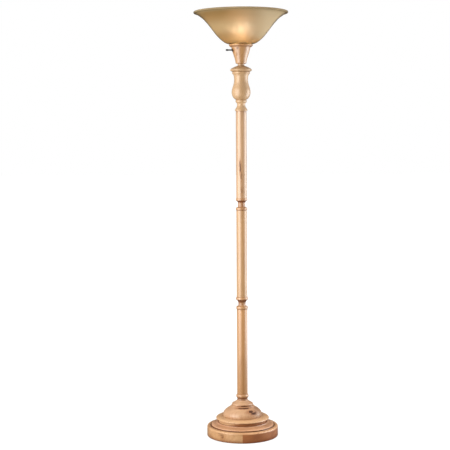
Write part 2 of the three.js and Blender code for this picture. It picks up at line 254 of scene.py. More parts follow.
# %% Hang the panels
PANEL_AWAY = 1.9  # from the pole
PANEL_GLOW = 4.6  # brightness of its face, where 1 is white


def panel(name, azimuth, width, height, middle):
    """A soft panel facing the pole. Azimuth 0 is the camera's side, 90 the right."""
    lamp = bpy.data.lights.new(name, "AREA")
    lamp.shape = "RECTANGLE"
    lamp.size, lamp.size_y = width, height
    lamp.energy = PANEL_GLOW * math.pi * width * height
    angle = math.radians(azimuth)
    away = Vector((math.sin(angle), -math.cos(angle), 0))
    where = Matrix.Translation(away * PANEL_AWAY + Vector((0, 0, middle)))
    facing = away.to_track_quat("Z", "Y").to_matrix().to_4x4()
    place(bpy.data.objects.new(name, lamp), where @ facing).visible_camera = False
    print(name, "at azimuth", azimuth, "with", round(lamp.energy), "W")


panel("panel_left", -51, width=1.9, height=2.5, middle=1.15)
panel("panel_right", 98, width=1.7, height=1.9, middle=0.95)

# %% Light the world
LOW_FILL, HIGH_FILL = 0.2, 0.95  # light on the object, from the horizon and from above
DIM_ROOM = 0.12  # what gloss sees in front and behind


def seen_directly(wiring):
    """1 for the rays that should see the plain white background."""
    path = wiring.node("LightPath").outputs
    seen = wiring.math("MAXIMUM", path["Is Camera Ray"], path["Is Glossy Ray"])
    return wiring.math("MAXIMUM", seen, path["Is Transmission Ray"])


def dimmed(wiring, way_y):
    """What gloss sees in a level direction: white at the sides, dim in front and behind."""
    return wiring.ramp(wiring.math("ABSOLUTE", way_y), 0.35, 0.95, 1.0, DIM_ROOM)


world = bpy.data.worlds.new("studio")
scene.world = world
sky = blank_tree(world)
way = sky.node("TexCoord").outputs["Generated"]
fill = sky.ramp(sky.split(way, "Z"), 0.0, 1.0, LOW_FILL, HIGH_FILL)
room = dimmed(sky, sky.split(way, "Y"))
glossy = sky.node("LightPath").outputs["Is Glossy Ray"]
plain = sky.ramp(glossy, 0, 1, 1.0, room)
brightness = sky.ramp(seen_directly(sky), 0, 1, fill, plain)
background = sky.node("Background", {"Color": (1, 1, 1, 1), "Strength": brightness})
sky.feed(sky.node("OutputWorld").inputs["Surface"], background.outputs[0])
print("world fill from", LOW_FILL, "to", HIGH_FILL)

# %% Lay the floor
FLOOR_SIZE = 60.0
NEAR_LIFT, FAR_LIFT = 0.7, 0.95  # the paper's own light, under the lamp and out towards the edge
PAPER, PAPER_IN_GLOSS = (0.35, 0.35, 0.35, 1), (0.1, 0.1, 0.1, 1)


def white_floor():
    """Pale paper that takes the lamp's shadow and fades to the white of the background."""
    material = bpy.data.materials.new("floor_paper")
    w = blank_tree(material)
    away = w.vector("LENGTH", w.here())
    glossy = w.node("LightPath").outputs["Is Glossy Ray"]
    level = w.split(w.vector("NORMALIZE", w.here()), "Y")
    mirrored = w.times(dimmed(w, level), w.ramp(away, 0.3, 2.0, 0.1, 1.0))
    lift = w.ramp(away, 0.2, 1.6, NEAR_LIFT, FAR_LIFT)
    lift = w.times(lift, w.ramp(glossy, 0, 1, 1.0, mirrored))
    glow = w.node("Emission", {"Strength": w.times(lift, seen_directly(w))})
    paper = w.node("BsdfDiffuse", {"Color": w.mix(glossy, PAPER, PAPER_IN_GLOSS)})
    both = w.node("AddShader")
    w.feed(both.inputs[0], paper.outputs[0])
    w.feed(both.inputs[1], glow.outputs[0])
    w.feed(w.node("OutputMaterial").inputs["Surface"], both.outputs[0])
    return material


floor_mesh = bpy.data.meshes.new("floor")
half = FLOOR_SIZE / 2
floor_mesh.from_pydata([(-half, -half, 0), (half, -half, 0), (half, half, 0), (-half, half, 0)],
                       [], [(0, 1, 2, 3)])
floor_mesh.materials.append(white_floor())
floor = place(bpy.data.objects.new("floor", floor_mesh))
print("floor:", FLOOR_SIZE, "m wide")

# %% [markdown]
# ## Birch grain
# A tree lays down one ring a year round its pith. A turned piece cuts through those rings, so the
# pattern is best made solid: for each point the distance from a far pith line is divided by the
# ring width, and each ring darkens slowly and then starts pale again. Drawn-out noise bends the
# rings, adds fibres and pores, and brings in the redder heartwood.

# %% The group "Birch grain"
w, given, give = new_group(
    "Birch grain",
    {"Seed": 0.0, "Pith": (0.05, 0.03, 0.0), "Ring Width": 0.004, "Heartwood": 0.2,
     "Pale": shade(226, 184, 142), "Dark": shade(196, 142, 96), "Heart": shade(160, 100, 60)},
    {"Color": COLOUR, "Ring": FLOAT, "Pores": FLOAT},
)
shift = w.join(given["Seed"], given["Seed"], given["Seed"])
moved = w.vector("ADD", given["Vector"], w.stretch(shift, 0.37, 0.61, 1.3))
drawn = w.stretch(moved, 1.0, 1.0, 0.14)
sway = w.vector("SUBTRACT", w.noise(drawn, 11.0, 2.0, "Color"), (0.5, 0.5, 0.5))
bent = w.vector("ADD", given["Vector"], w.stretch(sway, 0.035, 0.035, 0.0))
across = w.stretch(w.vector("SUBTRACT", bent, given["Pith"]), 1.0, 1.0, 0.0)
years = w.math("DIVIDE", w.vector("LENGTH", across), given["Ring Width"])
part = w.math("FRACT", years)
late = w.times(w.ramp(part, 0.3, 0.93), w.ramp(part, 0.94, 1.0, 1.0, 0.0))
year = w.node("TexWhiteNoise", {"W": w.math("FLOOR", years)}, noise_dimensions="1D").outputs["Value"]
ring = w.times(late, w.scaled(year, 0.7, 0.3))
zone = w.ramp(w.noise(drawn, 26.0, 3.0), 0.34, 0.68)
tone = w.math("ADD", w.times(ring, 0.5), w.times(zone, 0.5))
pale_wood = w.mix(tone, given["Pale"], given["Dark"])
heart_noise = w.math("ADD", w.noise(drawn, 15.0, 2.0), w.math("SUBTRACT", given["Heartwood"], 0.5))
heart = w.ramp(heart_noise, 0.42, 0.62)
timber = w.mix(w.times(heart, 0.8), pale_wood, given["Heart"])
fibre = w.ramp(w.noise(w.stretch(moved, 1.0, 1.0, 0.025), 1100.0, 1.0), 0.3, 0.7, 0.93, 1.05)
pores = w.ramp(w.noise(w.stretch(moved, 1.0, 1.0, 0.05), 1500.0, 0.0), 0.66, 0.76)
timber = w.vector("MULTIPLY", timber, w.join(fibre, fibre, fibre))
w.feed(give["Color"], w.mix(w.times(pores, 0.3), timber, given["Heart"]))
w.feed(give["Ring"], ring)
w.feed(give["Pores"], pores)

# %% [markdown]
# ## Knots, bark pockets, checks and painted shade
# Where a branch left the trunk, the grain flows round a dark core. A pocket of bark is the same
# thing drawn out flat, and a drying check is one drawn out along the grain. So one group serves all
# three: it measures how far a point is from a centre in units of the mark's own half widths, and
# sweeps the grain aside before the rings are worked out. Two marks made with it are painted
# shade: the turn key's shadow on the cup, and a darker right flank on the dome.

# %% The group for knots and painted shade marks
w, given, give = new_group(
    "Knot and shade mark",
    {"Centre": (0.0, 0.0, 0.0), "Half Widths": (0.005, 0.005, 0.005), "Ragged": 1.3},
    {"Swept": VECTOR, "Core": FLOAT, "Halo": FLOAT},
)
away = w.vector("SUBTRACT", given["Vector"], given["Centre"])
reach = w.vector("LENGTH", w.vector("DIVIDE", away, given["Half Widths"]))
torn = w.math("SUBTRACT", w.noise(given["Vector"], 150.0, 4.0), 0.5)
reach = w.math("ADD", reach, w.times(torn, given["Ragged"]))
halo = w.ramp(reach, 0.9, 2.8, 1.0, 0.0)
pulled = w.node("VectorMath", {"Scale": w.times(halo, 0.45)}, operation="SCALE")
w.feed(pulled.inputs[0], away)
w.feed(give["Swept"], w.vector("SUBTRACT", given["Vector"], pulled.outputs[0]))
crumbled = w.ramp(w.noise(given["Vector"], 520.0, 3.0), 0.35, 0.65, 1.0, 0.75)
w.feed(give["Core"], w.times(w.ramp(reach, 0.8, 1.1, 1.0, 0.0), crumbled))
w.feed(give["Halo"], halo)

# %% [markdown]
# ## Lathe marks, worn corners and painted shade
# The gouge and the sandpaper leave very fine rings round a turned piece, however well it is
# finished. They are noise that depends only on the radius and the height. Lacquer wears thin on
# corners. Creases and undersides are painted darker, as shade, and less so where a surface faces
# up into the light from above. Cycles knows how sharply the mesh bends at each point, which way it
# faces, and how much of the space round it is closed in, and the second group makes its masks
# from those three.

# %% The group "Lathe marks", and a group for worn corners and painted shade
def round_the_lathe(w, vector):
    """A place that depends only on the radius and the height, so noise read there makes rings."""
    return w.join(w.vector("LENGTH", w.stretch(vector, 1.0, 1.0, 0.0)), 0.0, w.split(vector, "Z"))


w, given, give = new_group("Lathe marks", {"Pitch": 0.0006}, {"Height": FLOAT, "Sheen": FLOAT})
marks_scale = w.math("DIVIDE", 1.0, given["Pitch"])
w.feed(give["Height"], w.noise(round_the_lathe(w, given["Vector"]), marks_scale, 1.0))
w.feed(give["Sheen"], w.noise(given["Vector"], 38.0, 3.0))

w, given, give = new_group(
    "Worn corners and painted shade",
    {"Reach": 0.014, "Open": 0.92, "Closed": 0.35},
    {"Corners": FLOAT, "Creases": FLOAT, "Overhung Shade": FLOAT, "Undersides": FLOAT},
)
surface = w.node("NewGeometry").outputs
facing_up = w.split(surface["Normal"], "Z")
patchy = w.ramp(w.noise(given["Vector"], 90.0, 3.0), 0.35, 0.6)
w.feed(give["Corners"], w.times(w.ramp(surface["Pointiness"], 0.51, 0.6), patchy))
# The other three masks are painted shade: closed-in space, faces that point down, and closed-in space
# that fades where it faces up into the light from above.
open_space = w.node("AmbientOcclusion", {"Distance": given["Reach"]}, samples=6).outputs["AO"]
creases = w.ramp(open_space, given["Closed"], given["Open"], 1.0, 0.0)
undersides = w.ramp(facing_up, -0.5, -0.05, 1.0, 0.0)
w.feed(give["Creases"], creases)
w.feed(give["Undersides"], undersides)
shaded_creases = w.times(creases, w.ramp(facing_up, 0.0, 0.6, 1.0, 0.2))
w.feed(give["Overhung Shade"], w.math("MAXIMUM", shaded_creases, undersides))

# %% [markdown]
# ## The lacquered birch
# Clear satin lacquer over bare wood is a diffuse colour under a thin coat, which is just what the
# Principled shader's coat is. The knots come first, because they bend the grain. Pores and bark are
# deeper and duller than the rest, and the coat is thin on them and where painted shade lies.

# %% Start a material
def new_material(name):
    """A material with an empty tree, its wiring and a Principled shader."""
    material = bpy.data.materials.new(name)
    w = blank_tree(material)
    shader = w.node("BsdfPrincipled")
    w.feed(w.node("OutputMaterial").inputs["Surface"], shader.outputs[0])
    print("finish", name)
    return material, w, shader.inputs


print("every finish starts with an empty tree and one Principled shader")

# %% Place marks and paler wood above a height
def place_marks(w, here, marks):
    """Adds a knot for each mark. Gives the place to read the grain at, swept aside by every mark,
    and the masks of their cores and of the wood round them."""
    swept, bark_and_shadow, halo = here, 0.0, 0.0
    for centre, half_widths, darkness in marks:
        shaped_mark = use_group(w, "Knot and shade mark", swept, centre=centre, half_widths=half_widths)
        swept = shaped_mark["Swept"]
        bark_and_shadow = w.math("MAXIMUM", bark_and_shadow, w.times(shaped_mark["Core"], darkness))
        halo = w.math("MAXIMUM", halo, w.times(shaped_mark["Halo"], darkness))
    return swept, bark_and_shadow, halo


def add_pale_wood(w, here, colour, rings, start, end, pale, dark, lean):
    """Paler wood above a height. Its lower edge leans down to the left."""
    left = w.math("MINIMUM", w.split(here, "X"), 0.0)
    level = w.scaled(left, -lean, w.split(here, "Z"))
    upper_wood = w.mix(rings, shade(*pale), shade(*dark))
    return w.mix(w.ramp(level, start, end), colour, upper_wood)


print("the wood can take marks and a sapwood face")

# %% A function that finishes a piece of birch
BARK_AND_SHADOW = shade(54, 18, 2)
# The next colour is painted shade, for creases and undersides.
CREASE_SHADE = shade(100, 40, 2)
UPRIGHT, LYING = (0.0, 0.0, 0.0), (0.0, math.pi / 2, 0.0)  # how the grain runs in a piece
SATIN = 0.38  # roughness of the lacquer
WOOD_SHINE = 0.2  # specular level of the wood under it


def birch(name, pale, dark, heart, lie=UPRIGHT, seed=0.0, pith=(0.06, 0.03, 0), heartwood=0.15,
          ring=0.0042, marks=(), crease=0.8, crease_reach=0.014, open_at=0.92, closed_at=0.35,
          overhung=False, gloss=1.8, pale_wood=None):
    """Lacquered birch, from three screen colours.

    A mark is (centre, half widths, darkness), in metres. Painted shade darkens the wood, up to the
    share crease, where the open part of the space within crease_reach falls from open_at to
    closed_at. On an overhung piece the painted shade lies on the undersides and fades on what faces
    up, as under a light from above. Gloss is the refractive index of the lacquer. The paler wood
    above a height is (start, end, pale, dark, lean)."""
    material, w, shader = new_material(name)
    pale, dark, heart = shade(*pale), shade(*dark), shade(*heart)
    here = w.here()
    swept, bark_and_shadow, halo = place_marks(w, here, marks)
    turned = w.node("Mapping", {"Vector": swept, "Rotation": lie}).outputs[0]
    grain = use_group(w, "Birch grain", turned, seed=seed, pith=pith, ring_width=ring, pale=pale,
                      dark=dark, heart=heart, heartwood=heartwood)
    lathe = use_group(w, "Lathe marks", here)
    wear_and_shade = use_group(w, "Worn corners and painted shade", here, reach=crease_reach, open=open_at, closed=closed_at)
    colour = grain["Color"]
    if pale_wood:
        colour = add_pale_wood(w, here, colour, grain["Ring"], *pale_wood)
    colour = w.mix(w.times(halo, 0.6), colour, heart)
    colour = w.mix(bark_and_shadow, colour, BARK_AND_SHADOW)
    # Painted shade: the wood darkens in creases, and on an overhung piece on its undersides.
    painted_shade = w.times(wear_and_shade["Overhung Shade" if overhung else "Creases"], crease)
    colour = w.mix(painted_shade, colour, CREASE_SHADE)
    w.feed(shader["Base Color"], w.mix(w.times(wear_and_shade["Corners"], 0.3), colour, pale))
    dull = w.scaled(grain["Pores"], 0.12, w.ramp(lathe["Sheen"], 0.3, 0.7, 0.4, 0.52))
    w.feed(shader["Roughness"], w.scaled(bark_and_shadow, 0.25, dull))
    depth = w.scaled(grain["Pores"], -0.5, w.times(lathe["Height"], 0.35))
    depth = w.scaled(grain["Ring"], 0.15, depth)
    w.dent(shader, w.scaled(bark_and_shadow, -3.0, depth), strength=0.3, distance=0.0001)
    bare = w.times(wear_and_shade["Undersides"], 0.6) if overhung else painted_shade
    film_on_marks = w.scaled(w.math("MAXIMUM", bark_and_shadow, halo), -0.9, 1.0)
    film = w.times(w.scaled(bare, -0.8, 1.0), film_on_marks)
    w.feed(shader["Coat Weight"], film)
    shader["Coat Roughness"].default_value = SATIN
    shader["Coat IOR"].default_value = gloss
    shader["Specular IOR Level"].default_value = WOOD_SHINE
    return material


print("the satin lacquer has a roughness of", SATIN)

# %% [markdown]
# ## Outlines for the lathe
# A wood turner works from half a section: the radius at each height. The same outline drawn here
# as lines, Bezier curves and arcs, and swept round the axis, gives the piece. A real edge is never
# quite sharp, so each corner is eased by a fraction of a millimetre first, and it then catches the
# light as a real edge does.

# %% Draw an outline
STROKE_STEPS = 14


class Outline:
    """Half a section as (radius, height) in millimetres above the piece's foot. It runs
    anticlockwise: out along the bottom, up the outside and back down the bore."""

    def __init__(self, r, z):
        self.points = [(r, z)]

    def line(self, *corners):
        self.points += corners
        return self

    def curve(self, *controls):
        """A Bezier stroke: one or two controls and its end."""
        start = self.points[-1]
        for step in range(1, STROKE_STEPS + 1):
            t = step / STROKE_STEPS
            row = [start, *controls]
            while len(row) > 1:
                row = [tuple(m + (n - m) * t for m, n in zip(a, b)) for a, b in zip(row, row[1:])]
            self.points.append(row[0])
        return self

    def arc(self, centre, radii, start, end):
        """Part of an ellipse, from one angle to another, in degrees."""
        for step in range(STROKE_STEPS + 1):
            a = math.radians(start + (end - start) * step / STROKE_STEPS)
            r, z = radii[0] * math.cos(a), radii[1] * math.sin(a)
            self.points.append((centre[0] + r, centre[1] + z))
        return self


print("outlines are drawn with", STROKE_STEPS, "steps to a stroke")

# %% Ease the corners
SHARP = math.radians(24)


def eased(points, ease):
    """The closed outline with each sharp corner rounded off."""
    clean = [p for p, q in zip(points, points[1:] + points[:1]) if math.dist(p, q) > 1e-4]
    made = []
    for before, corner, after in zip(clean[-1:] + clean[:-1], clean, clean[1:] + clean[:1]):
        come, go = Vector(corner) - Vector(before), Vector(after) - Vector(corner)
        if corner[0] < 1e-6 or come.angle(go) < SHARP:
            made.append(corner)
            continue
        start = Vector(corner) - come.normalized() * min(ease, come.length * 0.4)
        end = Vector(corner) + go.normalized() * min(ease, go.length * 0.4)
        for t in (0, 0.25, 0.5, 0.75, 1):
            made.append(tuple(start.lerp(Vector(corner), t).lerp(Vector(corner).lerp(end, t), t)))
    return made


print("corners over", round(math.degrees(SHARP)), "degrees are eased")

# %% [markdown]
# ## The lathe
# A Screw modifier could spin an outline, but a thread, a flute or half a disc needs more say in
# where each point goes. So the skin is built ring by ring in bmesh: one ring of points for each
# point of the outline, joined by four-sided faces, and a single point where a ring meets the axis.

# %% Spin an outline into a skin
FACES = 96
FULL_TURN = 2 * math.pi
EDGE_ANGLE = math.radians(30)  # a sharper bend than this is kept as an edge


def spin(name, points, faces=FACES, start=0.0, sweep=FULL_TURN, shape=None):
    """One closed skin. shape(r, z, angle) may change the radius, for threads and flutes."""
    whole = sweep == FULL_TURN
    count = faces if whole else faces + 1
    bm = bmesh.new()
    rings = []
    for r, z in points:
        if r < 1e-7:
            rings.append([bm.verts.new((0, 0, z))] * count)
            continue
        ring = []
        for k in range(count):
            a = start + sweep * k / faces
            out = shape(r, z, a) if shape else r
            ring.append(bm.verts.new((out * math.cos(a), out * math.sin(a), z)))
        rings.append(ring)
    for low, high in zip(rings, rings[1:] + rings[:1]):
        for k in range(faces):
            n = (k + 1) % count
            corners = list(dict.fromkeys((low[k], low[n], high[n], high[k])))
            if len(corners) > 2:
                bm.faces.new(corners)
    if not whole:
        caps = [bm.faces.new([ring[k] for ring in rings]) for k in (0, -1)]
        bmesh.ops.triangulate(bm, faces=caps)
    bmesh.ops.recalc_face_normals(bm, faces=bm.faces)
    mesh = bpy.data.meshes.new(name)
    bm.to_mesh(mesh)
    bm.free()
    return place(bpy.data.objects.new(name, mesh))


def smooth(piece):
    """Smooth shading with real edges kept."""
    mesh = piece.data
    mesh.polygons.foreach_set("use_smooth", [True] * len(mesh.polygons))
    mesh.set_sharp_from_angle(angle=EDGE_ANGLE)
    return piece


print("the lathe spins", FACES, "faces to a turn")

# %% Put a turned piece in its place
def stand_in(piece, node, material):
    """The piece takes the place of a CAD node: its body and its finish."""
    piece.data.materials.clear()
    piece.data.materials.append(material)
    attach(piece, frame["nodes"][node]["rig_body"])
    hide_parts(node)
    return piece


def lay(piece, origin, direction):
    """Lays a piece that was turned upright along another axis, by moving its mesh."""
    aim = Vector(direction).normalized().to_track_quat("Z", "Y").to_matrix().to_4x4()
    piece.data.transform(Matrix.Translation(origin) @ aim)


def turn(node, outline, material, ease=0.35, suffix="turned", axis=None, **spinning):
    """Turns an outline where the CAD node stands, or along an axis: (origin, direction)."""
    foot = 0.0 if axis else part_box(node)[0].z
    points = [(r * MM, foot + z * MM) for r, z in eased(outline.points, ease)]
    piece = smooth(spin(f"{node}_{suffix}", points, **spinning))
    if axis:
        lay(piece, *axis)
    print(piece.name, len(piece.data.polygons), "faces")
    return stand_in(piece, node, material)


# %% [markdown]
# ## The plinth
# The widest piece is glued up from two boards, a pale one and a much redder one, so the glue line
# shows as an abrupt change of colour on the front. Each board is turned as half a disc. The edge
# has a roundover at the top, and a V-groove runs round the foot of the disc above.

# %% Turn the two plinth boards
BORE = 5.6  # radius of the pipe's hole through every turned piece, in millimetres
POCKET_R, POCKET_ROOF = 118, 18  # the weight's pocket: its radius, and how far its roof is down
# Painted shade: a long crease reach darkens both boards in the V-groove and along the foot, by the
# floor.
PALE_BOARD = birch(
    "birch_pale_board", (200, 154, 106), (164, 112, 64), (134, 80, 40), LYING, 1.0,
    (0.03, 0.10, 0), 0.1, 0.006, crease_reach=0.026, crease=1.0, gloss=1.5,
    marks=[
        ((-0.092, -0.121, 0.0345), (0.013, 0.02, 0.0022), 0.45),
        ((-0.087, -0.125, 0.0290), (0.009, 0.02, 0.0030), 0.5),
        ((-0.084, -0.127, 0.0220), (0.005, 0.02, 0.0045), 0.55),
    ],
)
RED_BOARD = birch(
    "birch_red_board", (166, 102, 54), (146, 85, 41), (130, 72, 34), LYING, 7.3,
    (-0.02, -0.06, 0), 0.3, 0.005, crease_reach=0.026, crease=1.0, gloss=1.5,
    pale_wood=(0.0365, 0.0405, (204, 154, 108), (172, 120, 76), 0.0),
)


def plinth_outline():
    """The section of both boards: a rounded edge, the V-groove, and the weight's pocket below."""
    felt_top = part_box("felt_pad")[1].z / MM
    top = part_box("plinth_left_board")[1].z / MM - felt_top
    outline = Outline(POCKET_R, 0).line((151, 0), (152, 1)).arc((145, top - 7), (7, 7), 0, 90)
    outline.line((138, top), (135.3, top - 4), (132, top), (BORE, top))
    return outline.line((BORE, top - POCKET_ROOF), (POCKET_R, top - POCKET_ROOF))


half_turn = {"faces": FACES // 2, "sweep": math.pi}
turn("plinth_left_board", plinth_outline(), PALE_BOARD, start=math.pi / 2, **half_turn)
right_board = turn("plinth_right_board", plinth_outline(), RED_BOARD, start=-math.pi / 2, **half_turn)

# %% [markdown]
# ## Drilled holes
# A lathe can't make a hole through a side, so a plain drill is taken away from the turned piece
# with a Boolean modifier, which is then applied. The cord leaves through such a hole at the back of
# the plinth, with a wider seat at its mouth for a bushing.

# %% Drill the cord's hole
def cut_away(piece, tool):
    """Takes one piece out of another and deletes the tool."""
    cut = piece.modifiers.new("cut", "BOOLEAN")
    cut.operation, cut.solver, cut.object = "DIFFERENCE", "EXACT", tool
    bpy.context.view_layer.update()
    after = piece.evaluated_get(bpy.context.evaluated_depsgraph_get())
    mesh = bpy.data.meshes.new_from_object(after)
    piece.modifiers.clear()
    piece.data = mesh
    bpy.data.objects.remove(tool)
    return smooth(piece)


def drilled(piece, origin, direction, length, radius):
    """Drills a round hole from a point along a direction, in metres."""
    bit = spin("drill", [(0, 0), (radius, 0), (radius, length), (0, length)], faces=40)
    lay(bit, origin, direction)
    print("drilled", piece.name, "at radius", round(radius / MM, 1), "mm")
    return cut_away(piece, bit)


CORD_X, CORD_Z = 0.016, 0.012
BACKWARD = (0, 1, 0)
drilled(right_board, (CORD_X, 0.110, CORD_Z), BACKWARD, length=0.06, radius=0.0064)
drilled(right_board, (CORD_X, 0.1505, CORD_Z), BACKWARD, length=0.01, radius=0.0095)

# %% [markdown]
# ## The base above the plinth
# Three more turned pieces step in towards the pole: a disc with an ogee edge, a step with a round
# top, and a dome that sweeps up to the pole's collar. The disc's foot and the step's cove are cut
# under, so each piece has a line of real shade below it, and painted shade darkens the step's cove
# and the disc's top under it further. Their boards lie flat, so the grain runs across, and a few
# pockets of bark are left in the dome because buyers of rustic birch like them. A large faint
# mark paints shade on the dome's right flank.

# %% Turn the base
def turn_bored(node, outside, material, bore=BORE):
    """Turns a piece with a straight hole through it, from an outline of the outside alone."""
    low, high = outside.points[0][1], outside.points[-1][1]
    outside.points = [(bore, low), *outside.points, (bore, high)]
    return turn(node, outside, material)


# Painted shade: the long crease reach darkens the disc's top in a crescent under the step.
DISC_BIRCH = birch(
    "birch_disc", (206, 157, 116), (170, 116, 76), (142, 86, 44), LYING, 2.1,
    (0.02, 0.14, 0), 0.12, 0.0055, crease_reach=0.045, crease=1.0, open_at=0.8, gloss=1.5,
)
# Painted shade: the step's own colours are dark, for the cove under its round top, and the paler wood
# above a level, set lower to the left, is where the light reaches.
STEP_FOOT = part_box("torus_step")[0].z
STEP_BIRCH = birch(
    "birch_step", (160, 100, 50), (136, 80, 38), (116, 66, 28), LYING, 5.2,
    (-0.04, 0.12, 0), 0.12, 0.005, crease_reach=0.02, open_at=0.5, gloss=1.5,
    pale_wood=(STEP_FOOT + 0.0125, STEP_FOOT + 0.0155, (200, 156, 110), (166, 118, 74), 0.22),
)
DOME_BIRCH = birch(
    "birch_dome", (198, 156, 116), (166, 118, 78), (134, 78, 42), LYING, 4.4,
    (0.0, 0.16, 0), 0.12, 0.005, crease_reach=0.007, open_at=0.8, gloss=1.5,
    marks=[
        ((0.010, -0.045, 0.1336), (0.020, 0.012, 0.0024), 1.0),
        ((0.008, -0.047, 0.1258), (0.024, 0.014, 0.0026), 1.0),
        ((0.032, -0.040, 0.1300), (0.014, 0.014, 0.0050), 0.35),
        ((0.034, -0.056, 0.1130), (0.012, 0.014, 0.0046), 1.0),
        ((0.047, -0.058, 0.1065), (0.012, 0.014, 0.0058), 1.0),
        # Painted shade: this wide faint mark darkens the dome's right flank and thins its coat.
        ((0.078, -0.030, 0.112), (0.036, 0.050, 0.034), 0.36),
    ],
)
disc = Outline(129.8, 0).line((129.8, 2.2)).curve((133.5, 2.2), (133.5, 3.6))
disc.curve((133.5, 7.4), (124, 8.2), (119, 9)).curve((109, 11), (107, 16))
turn_bored("ogee_disc", disc, DISC_BIRCH)

step = Outline(103.5, 0).line((103.5, 13), (105, 14.2), (112.5, 14.2))
turn_bored("torus_step", step.arc((90, 15), (23.5, 9.5), 0, 90), STEP_BIRCH)

dome = Outline(83.5, 0).line((83.5, 7.5)).curve((83, 18.5), (71, 29.5), (58, 36.5))
dome.curve((51, 40.5), (47.5, 46)).line((45, 47)).curve((47, 51), (43, 55)).line((39, 57))
turn_bored("dome", dome.curve((33, 60.5), (26.5, 64), (23.5, 68.5)), DOME_BIRCH)

# %% [markdown]
# ## The pole
# Three plain sections and two spool joints are threaded on a steel pipe. Each section comes from
# another stick, so the upper one is pinker and the lower one more orange. A drying check runs
# slantwise up the front of the upper section: it is a chain of narrow marks, each a little higher
# and further to the left than the one below.

# %% Turn the pole
UPPER_BIRCH = birch(
    "birch_upper", (190, 150, 108), (158, 116, 76), (138, 78, 30), seed=3.2, heartwood=0.12,
    marks=[
        ((-0.0066, -0.0212, 1.163), (0.0028, 0.02, 0.013), 0.55),
        ((-0.0042, -0.0222, 1.145), (0.0030, 0.02, 0.019), 0.75),
        ((-0.0010, -0.0225, 1.118), (0.0028, 0.02, 0.020), 0.5),
        ((0.0012, -0.0225, 1.052), (0.0024, 0.02, 0.013), 0.45),
    ],
)
MIDDLE_BIRCH = birch(
    "birch_middle", (185, 141, 91), (153, 109, 63), (134, 80, 40), seed=5.7, pith=(-0.05, 0.05, 0),
)
LOWER_BIRCH = birch(
    "birch_lower", (187, 136, 80), (155, 104, 52), (132, 74, 34), seed=8.9, heartwood=0.2,
    pith=(0.04, 0.07, 0),
)
COUPLER_BORE = 8.5  # radius of the hole, wide enough for the pipe's couplers


def height_of(node):
    """A CAD node's height in millimetres."""
    low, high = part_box(node)
    return (high.z - low.z) / MM


sections = {"pole_lower": LOWER_BIRCH, "pole_middle": MIDDLE_BIRCH, "pole_upper": UPPER_BIRCH}
for node, finish in sections.items():
    pole_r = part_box("pole_lower")[1].x / MM
    turn_bored(node, Outline(pole_r, 0).line((pole_r, height_of(node))), finish, COUPLER_BORE)

# %% [markdown]
# ## The spool joints
# Each joint hides where two sections meet. It has a bead below, a thin straight neck and a lip that
# flares to meet the next section. The cone under the lip faces down, so it is painted darker, as
# shade, and its coat of lacquer is thin.

# %% Turn the spool joints and the foot collar
NECK_R = 15.5
# Painted shade: on the joints, overhung darkens the cone under each lip and what faces down.
JOINT_BIRCH = birch(
    "birch_joints", (186, 138, 88), (154, 106, 62), (128, 76, 34), seed=6.1, heartwood=0.25,
    crease_reach=0.03, open_at=0.94, closed_at=0.76, overhung=True, gloss=1.7,
)


def spool(node, ring_h, ring_r, neck, lip_h, lip_r):
    """A ring, a thin neck between two heights, and a lip that flares out over it."""
    top = height_of(node)
    lip_z = top - lip_h
    made = Outline(ring_r - 1.6, 0)
    made.curve((ring_r + 0.5, 1), (ring_r + 0.5, ring_h - 1), (ring_r - 1.6, ring_h))
    made.line((ring_r - 3.2, ring_h)).curve((NECK_R + 0.4, ring_h + 2), (NECK_R, neck[0]))
    made.line((NECK_R, neck[1])).curve((NECK_R + 0.8, neck[1] + 6), (lip_r - 4, lip_z))
    made.curve((lip_r + 1.8, lip_z + 1), (lip_r, lip_z + 5), (lip_r - 2, top))
    turn_bored(node, made, JOINT_BIRCH)


spool("joint_lower", 13, 24.5, (20, 27), 12, 26)
spool("joint_upper", 11, 24.5, (17, 30), 13, 24.6)
collar = Outline(22.5, 0).line((21.8, 5)).curve((22, 10), (24.6, 10.6))
collar.curve((27.2, 13), (27.2, 21), (24.6, 23.4)).line((23.2, 25))
turn_bored("foot_collar", collar, JOINT_BIRCH)

# %% [markdown]
# ## The urn
# The one swelling shape of the pole stands on its own small foot and wears a cap like a lid, with a
# thin spacer above that lets the cup stand free of it.

# %% Turn the urn
URN_BIRCH = birch(
    "birch_urn", (195, 158, 114), (163, 124, 80), (138, 86, 42), seed=9.4, heartwood=0.1,
    pith=(0.05, 0.06, 0), crease=0.3, gloss=1.6,
)
foot = Outline(25.4, 0).curve((26.8, 2), (26, 5)).curve((24, 10), (18, 16), (16.8, 25))
foot.curve((17, 33), (21.6, 36)).curve((24.4, 38), (24.4, 45), (22, 46.4)).line((21.5, 48))
turn_bored("urn_foot", foot, URN_BIRCH)

urn = Outline(23, 0).curve((33, 4), (39.6, 18), (39.6, 30)).curve((39.6, 50), (29, 60), (29, 84))
urn.curve((29, 100), (34.4, 106)).curve((38.4, 107), (38.4, 114), (35.6, 115))
turn_bored("urn", urn.line((39.5, 117), (39.5, 118)), URN_BIRCH)

cap = Outline(41.5, 0).curve((45, 2), (45.6, 5.5)).line((44.6, 8))
turn_bored("urn_cap", cap.curve((38, 14.5), (28, 18), (15.5, 23)), URN_BIRCH)
turn_bored("spacer", Outline(14.5, 0).curve((12, 4), (15.5, 8.5)), URN_BIRCH)

# %% [markdown]
# ## The cup and its flange
# The flared cup is hollow above, to hold the socket, and a hole is drilled through its wall for the
# turn key. The flange above it has a deep bevel below, so its edge looks thin, and carries the
# metal seat of the glass, on three screws. Painted shade darkens the flange's underside, and a
# painted shadow of the key lies on the cup, below and to the right of its hole.

